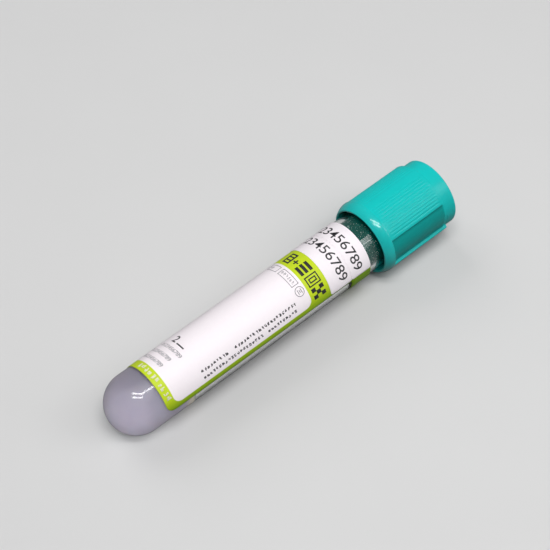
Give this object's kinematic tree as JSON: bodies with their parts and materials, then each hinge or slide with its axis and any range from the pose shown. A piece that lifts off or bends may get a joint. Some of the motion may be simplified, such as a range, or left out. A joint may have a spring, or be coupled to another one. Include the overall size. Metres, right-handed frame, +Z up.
{
  "type": "blood collection tube",
  "caption": "Round-ended clear tube with separation gel, a wrapped label with a clear window, a rubber stopper and a ribbed teal cap that pulls and twists off.",
  "frame": {"origin": "on the ground under the middle of the lying tube, at the bottom centre of its box", "axes": "+X from the round end to the cap, +Z up; the tube's axis leans up 1.74 degrees towards the cap, because the collar is wider than the round end"},
  "size_m": [0.0852, 0.0164, 0.0168],
  "materials": {
    "tube": "clear, smooth and glossy",
    "gel": "milky, slightly see-through gel",
    "label": "white label paper with yellow-green bands",
    "sticker": "white paper with dark digits",
    "stopper": "dark green rubber, matt",
    "cap": "teal plastic, satin gloss"
  },
  "bodies": {
    "tube": {"tube": "tube", "separation_gel": "gel", "label": "label", "code_sticker_lower": "sticker", "code_sticker_upper": "sticker"},
    "stopper": {"rubber_stopper": "stopper"},
    "cap": {"cap_shell": "cap"}
  },
  "joints": [
    {"name": "stopper_pull", "type": "slide", "parent": "tube", "child": "stopper", "axis": [0.9995, 0, 0.0304], "range_m": [0, 0.0144]},
    {"name": "cap_twist", "type": "hinge", "parent": "stopper", "child": "cap", "pos_m": [0.03238, 0, 0.00849], "axis": [0.9995, 0, 0.0304], "continuous": true}
  ]
}
